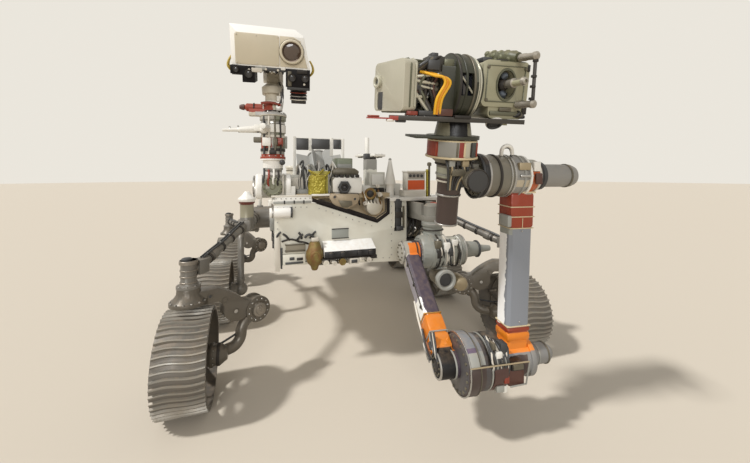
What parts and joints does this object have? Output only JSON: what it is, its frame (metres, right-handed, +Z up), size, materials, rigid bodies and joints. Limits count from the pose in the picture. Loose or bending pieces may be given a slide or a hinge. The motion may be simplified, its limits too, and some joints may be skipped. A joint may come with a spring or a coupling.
{
  "type": "planetary rover",
  "caption": "Wheeled planetary rover with rocker suspension, steered corner wheels, camera mast, jointed tool arm, steerable antenna and rear power unit.",
  "frame": {"origin": "on the ground, at the centre of the footprint box of the rover as it stands", "axes": "+X forward, +Y to the rover's left, +Z up"},
  "size_m": [3.6718, 2.38, 2.2339],
  "materials": {
    "white_paint": "thermal paint, satin",
    "tan_lining": "tan lining",
    "orange_paint": "orange paint",
    "grey_metal": "grey paint, satin",
    "beige_paint": "beige paint, satin",
    "power_grey": "light grey paint",
    "dark_metal": "dark anodised",
    "black_paint": "matt black",
    "drive_metal": "machined, dull",
    "olive_metal": "olive grey, satin",
    "wheel_metal": "machined, dusty"
  },
  "bodies": {
    "chassis": {"body_housing": "white_paint", "front_panel": "white_paint", "top_deck": "white_paint", "sampling_bay": "tan_lining", "belly_plate": "white_paint", "camera_shelf": "white_paint", "lens_box": "white_paint", "deck_boxes": "white_paint", "target_box": "orange_paint", "differential_bar": "grey_metal", "mast_base": "white_paint", "mast_tube": "beige_paint", "wind_booms": "white_paint", "rocker_right": "grey_metal", "rocker_left": "grey_metal", "bogie_right": "grey_metal", "bogie_left": "grey_metal", "power_unit": "power_grey", "power_cradle": "white_paint", "antenna_post": "white_paint", "radio_antenna": "white_paint", "arm_bracket": "dark_metal"},
    "antenna_turn": {"antenna_yoke": "white_paint"},
    "antenna_tilt": {"antenna_dish": "white_paint"},
    "mast_turn": {"mast_yoke": "beige_paint"},
    "mast_tilt": {"mast_head": "white_paint", "camera_bar": "black_paint"},
    "arm_turn": {"arm_shoulder": "drive_metal"},
    "arm_lift": {"upper_arm": "grey_metal"},
    "arm_fold": {"elbow_drive": "drive_metal", "forearm": "grey_metal"},
    "arm_wrist": {"wrist_drive": "drive_metal"},
    "arm_turret": {"turret_core": "olive_metal", "coring_drill": "olive_metal", "sensor_head": "beige_paint", "turret_frame": "dark_metal"},
    "steer_front_right": {"steered_leg_front_right": "grey_metal"},
    "steer_front_left": {"steered_leg_front_left": "grey_metal"},
    "steer_rear_right": {"steered_leg_rear_right": "grey_metal"},
    "steer_rear_left": {"steered_leg_rear_left": "grey_metal"},
    "wheel_front_right": {"wheel_front_right": "wheel_metal"},
    "wheel_front_left": {"wheel_front_left": "wheel_metal"},
    "wheel_middle_right": {"wheel_middle_right": "wheel_metal"},
    "wheel_middle_left": {"wheel_middle_left": "wheel_metal"},
    "wheel_rear_right": {"wheel_rear_right": "wheel_metal"},
    "wheel_rear_left": {"wheel_rear_left": "wheel_metal"}
  },
  "joints": [
    {"name": "steer_front_right", "type": "hinge", "parent": "chassis", "child": "steer_front_right", "pos_m": [0.84515, -1.07, 0.65], "axis": [0, 0, 1], "range_deg": [-50, 50]},
    {"name": "steer_front_left", "type": "hinge", "parent": "chassis", "child": "steer_front_left", "pos_m": [0.84515, 1.07, 0.65], "axis": [0, 0, 1], "range_deg": [-50, 50]},
    {"name": "steer_rear_right", "type": "hinge", "parent": "chassis", "child": "steer_rear_right", "pos_m": [-1.35485, -1.07, 0.65], "axis": [0, 0, -1], "range_deg": [-50, 50]},
    {"name": "steer_rear_left", "type": "hinge", "parent": "chassis", "child": "steer_rear_left", "pos_m": [-1.35485, 1.07, 0.65], "axis": [0, 0, -1], "range_deg": [-50, 50]},
    {"name": "roll_front_right", "type": "hinge", "parent": "steer_front_right", "child": "wheel_front_right", "pos_m": [0.84515, -1.07, 0.263], "axis": [0, 1, 0], "continuous": true},
    {"name": "roll_front_left", "type": "hinge", "parent": "steer_front_left", "child": "wheel_front_left", "pos_m": [0.84515, 1.07, 0.263], "axis": [0, 1, 0], "continuous": true},
    {"name": "roll_middle_right", "type": "hinge", "parent": "chassis", "child": "wheel_middle_right", "pos_m": [-0.25485, -1.07, 0.263], "axis": [0, 1, 0], "continuous": true},
    {"name": "roll_middle_left", "type": "hinge", "parent": "chassis", "child": "wheel_middle_left", "pos_m": [-0.25485, 1.07, 0.263], "axis": [0, 1, 0], "continuous": true},
    {"name": "roll_rear_right", "type": "hinge", "parent": "steer_rear_right", "child": "wheel_rear_right", "pos_m": [-1.35485, -1.07, 0.263], "axis": [0, 1, 0], "continuous": true},
    {"name": "roll_rear_left", "type": "hinge", "parent": "steer_rear_left", "child": "wheel_rear_left", "pos_m": [-1.35485, 1.07, 0.263], "axis": [0, 1, 0], "continuous": true},
    {"name": "mast_turn", "type": "hinge", "parent": "chassis", "child": "mast_turn", "pos_m": [0.54515, -0.625, 1.645], "axis": [0, 0, 1], "range_deg": [-175, 175]},
    {"name": "mast_tilt", "type": "hinge", "parent": "mast_turn", "child": "mast_tilt", "pos_m": [0.4853, -0.62082, 1.925], "axis": [-0.0698, -0.9976, 0], "range_deg": [-35, 75]},
    {"name": "antenna_turn", "type": "hinge", "parent": "chassis", "child": "antenna_turn", "pos_m": [-0.63485, 0.425, 1.2], "axis": [0, 0, 1], "range_deg": [-175, 175]},
    {"name": "antenna_tilt", "type": "hinge", "parent": "antenna_turn", "child": "antenna_tilt", "pos_m": [-0.63485, 0.425, 1.415], "axis": [0, 1, 0], "range_deg": [-20, 75]},
    {"name": "arm_turn", "type": "hinge", "parent": "chassis", "child": "arm_turn", "pos_m": [0.89515, 0.38, 0.955], "axis": [0, 0, 1], "range_deg": [-20, 45]},
    {"name": "arm_lift", "type": "hinge", "parent": "arm_turn", "child": "arm_lift", "pos_m": [0.93493, 0.37582, 0.765], "axis": [-0.1045, -0.9945, 0], "range_deg": [-12, 35]},
    {"name": "arm_elbow", "type": "hinge", "parent": "arm_lift", "child": "arm_fold", "pos_m": [1.49684, 0.31676, 0.358], "axis": [0.1045, 0.9945, 0], "range_deg": [-5, 70]},
    {"name": "arm_wrist", "type": "hinge", "parent": "arm_fold", "child": "arm_wrist", "pos_m": [1.54159, 0.31206, 1.258], "axis": [0.1045, 0.9945, 0], "range_deg": [-30, 75]},
    {"name": "arm_turret", "type": "hinge", "parent": "arm_wrist", "child": "arm_turret", "pos_m": [1.55269, 0.13191, 1.42739], "axis": [0.1727, -0.0182, 0.9848], "range_deg": [-170, 170]}
  ]
}
